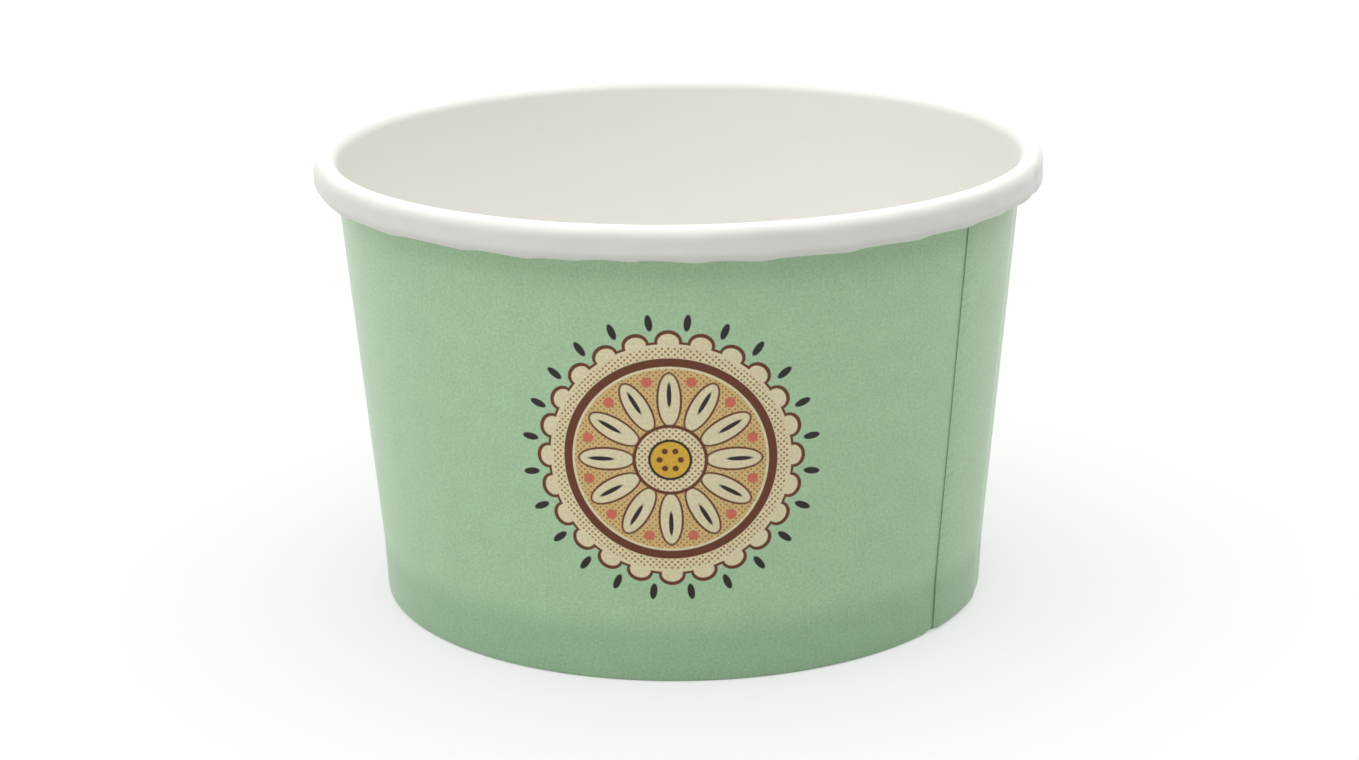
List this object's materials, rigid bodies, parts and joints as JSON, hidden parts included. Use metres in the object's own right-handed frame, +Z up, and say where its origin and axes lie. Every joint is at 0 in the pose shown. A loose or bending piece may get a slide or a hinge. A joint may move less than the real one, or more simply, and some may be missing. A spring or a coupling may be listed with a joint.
{
  "type": "paper ice cream cup",
  "caption": "Paper ice cream cup with a rolled rim, a lapped side seam and a base disc held by the folded foot, green print outside and white inside.",
  "frame": {"origin": "on the cup's axis, in the plane that it stands on", "axes": "+Z up along the cup's axis; the printed front faces -Y, and the side seam's visible edge lies 52.3 degrees from the front towards +X"},
  "size_m": [0.09, 0.09, 0.056],
  "materials": {
    "printed_board": "matte green print outside, white coated face inside",
    "white_board": "satin coated face above, bare matte board below"
  },
  "bodies": {
    "root": {"side_wall": "printed_board", "base_disc": "white_board"}
  },
  "joints": []
}
